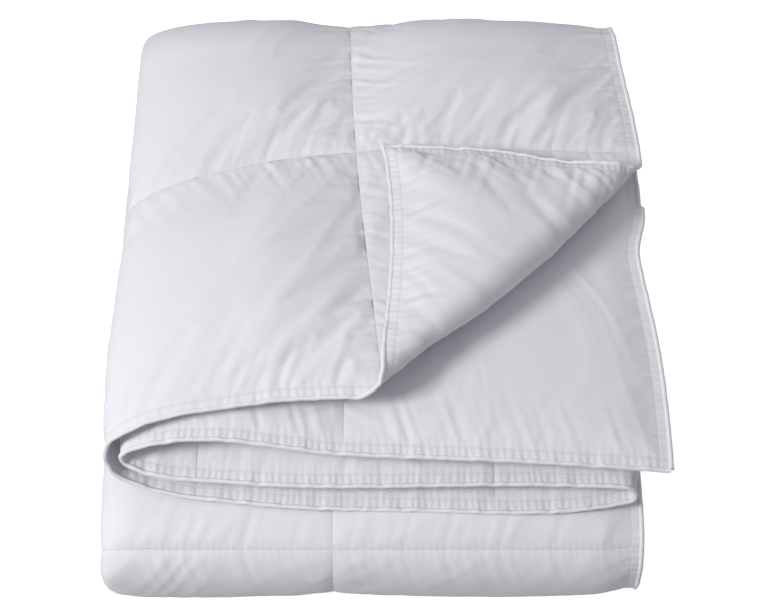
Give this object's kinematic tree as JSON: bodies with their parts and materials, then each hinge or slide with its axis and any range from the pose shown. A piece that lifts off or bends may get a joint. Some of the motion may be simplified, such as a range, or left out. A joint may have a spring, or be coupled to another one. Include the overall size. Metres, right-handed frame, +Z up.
{
  "type": "folded down duvet",
  "caption": "Quilted down duvet, folded across and along into a thick soft block, with the free corner of its top layer turned back.",
  "frame": {"origin": "middle of the face the folded block lies on", "axes": "+Z up, -Y towards the front where the hems show, -X towards the closed lengthwise fold"},
  "size_m": [0.57, 0.64, 0.2675],
  "materials": {
    "ticking": "white down-proof cotton cambric, close weave, faint sheen",
    "corded_edge": "white cotton cord covered in the same cambric"
  },
  "bodies": {
    "lower_bundle": {"chamber_a2": "ticking", "chamber_a3": "ticking", "chamber_b2": "ticking", "chamber_b3": "ticking", "chamber_c2": "ticking", "chamber_c3": "ticking", "chamber_d2": "ticking", "chamber_d3": "ticking", "fold_back_a": "ticking", "fold_back_b": "ticking", "fold_back_c": "ticking", "fold_back_d": "ticking", "fold_front_a": "ticking", "fold_front_b": "ticking", "fold_front_c": "ticking", "fold_front_d": "ticking", "fold_left_inner_2": "ticking", "fold_left_inner_3": "ticking", "fold_left_outer_2": "ticking", "fold_left_outer_3": "ticking", "fold_right_2": "ticking", "fold_right_3": "ticking", "hem_a2_side": "corded_edge", "hem_a3_end": "corded_edge", "hem_a3_side": "corded_edge", "hem_b2_side": "corded_edge", "hem_b3_end": "corded_edge", "hem_b3_side": "corded_edge", "hem_c3_end": "corded_edge", "hem_d3_end": "corded_edge"},
    "top_third": {"chamber_a1_back_left": "ticking", "chamber_a1_back_right": "ticking", "chamber_b1_back_left": "ticking", "chamber_b1_back_right": "ticking", "chamber_b1_front_left": "ticking", "chamber_b1_front_right": "ticking", "chamber_c1_back": "ticking", "chamber_c1_front": "ticking", "chamber_d1_back": "ticking", "chamber_d1_front": "ticking", "fold_left_inner_1": "ticking", "fold_left_outer_1": "ticking", "fold_right_1": "ticking", "hem_a1_side_back": "corded_edge", "hem_b1_front": "corded_edge", "hem_b1_side": "corded_edge", "hem_c1_front": "corded_edge", "hem_d1_front": "corded_edge", "hem_fold_left_inner": "corded_edge", "hem_fold_left_outer": "corded_edge", "hem_fold_right": "corded_edge"},
    "top_leaf": {"chamber_a1_front_left": "ticking", "chamber_a1_front_right": "ticking", "hem_a1_front": "corded_edge", "hem_a1_side_front": "corded_edge"},
    "turned_corner": {"chamber_turned_corner": "ticking", "hem_turned_front": "corded_edge", "hem_turned_side": "corded_edge"}
  },
  "joints": [
    {"name": "top_third_turn", "type": "hinge", "parent": "lower_bundle", "child": "top_third", "pos_m": [0, 0.2445, 0.11975], "axis": [-1, 0, 0], "range_deg": [0, 100], "deforming": ["fold_back_a", "fold_back_b", "fold_back_c", "fold_back_d"]},
    {"name": "top_leaf_lift", "type": "hinge", "parent": "top_third", "child": "top_leaf", "pos_m": [-0.25, 0, 0.20575], "axis": [0, -1, 0], "range_deg": [0, 30], "deforming": ["chamber_a1_back_left", "chamber_a1_back_right", "hem_a1_side_back", "fold_left_outer_1", "hem_fold_left_outer"]},
    {"name": "corner_turn", "type": "hinge", "parent": "top_leaf", "child": "turned_corner", "pos_m": [0.14, -0.063, 0.24175], "axis": [0.7071, 0.7071, 0], "range_deg": [0, 175]}
  ]
}
